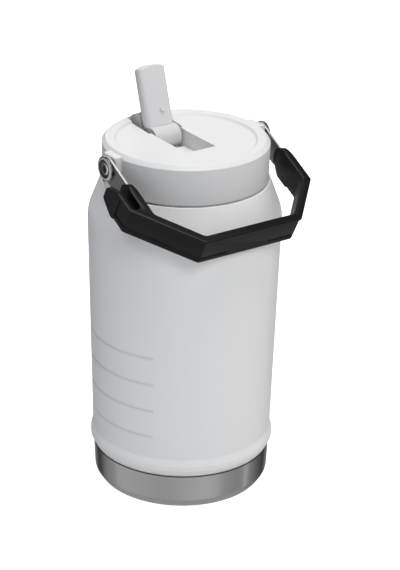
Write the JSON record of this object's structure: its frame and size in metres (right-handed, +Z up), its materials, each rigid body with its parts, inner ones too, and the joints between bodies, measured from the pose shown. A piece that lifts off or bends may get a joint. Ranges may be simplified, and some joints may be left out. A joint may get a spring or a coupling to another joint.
{
  "type": "insulated water jug",
  "caption": "Insulated steel water jug with a bare steel base, a white screw lid with a flip-up drinking spout, and a faceted black bail handle that swings on studs in the lid.",
  "frame": {"origin": "ground level at the middle of the flat base", "axes": "+X along the handle's pivot axis, -Y towards the side where the handle rests, +Y towards the spout's hinge, +Z up"},
  "size_m": [0.1431, 0.1487, 0.2937],
  "materials": {
    "white_coat": "satin powder coat",
    "bare_steel": "brushed",
    "white_plastic": "satin",
    "spout_plastic": "soft satin",
    "polished_steel": "polished",
    "strap_steel": "satin",
    "black_plastic": "fine matte"
  },
  "bodies": {
    "root": {"steel_base": "bare_steel", "vessel": "white_coat", "lid": "white_plastic", "pivot_stud_left": "polished_steel", "pivot_stud_right": "polished_steel"},
    "handle": {"bracket_left": "strap_steel", "bracket_right": "strap_steel", "grip": "black_plastic"},
    "spout": {"spout_hub": "white_plastic", "mouthpiece": "spout_plastic"}
  },
  "joints": [
    {"name": "handle_swing", "type": "hinge", "parent": "root", "child": "handle", "pos_m": [0, 0, 0.245], "axis": [-1, 0, 0], "range_deg": [0, 232]},
    {"name": "spout_fold", "type": "hinge", "parent": "root", "child": "spout", "pos_m": [0, 0.028, 0.2462], "axis": [1, 0, 0], "range_deg": [0, 100]}
  ]
}
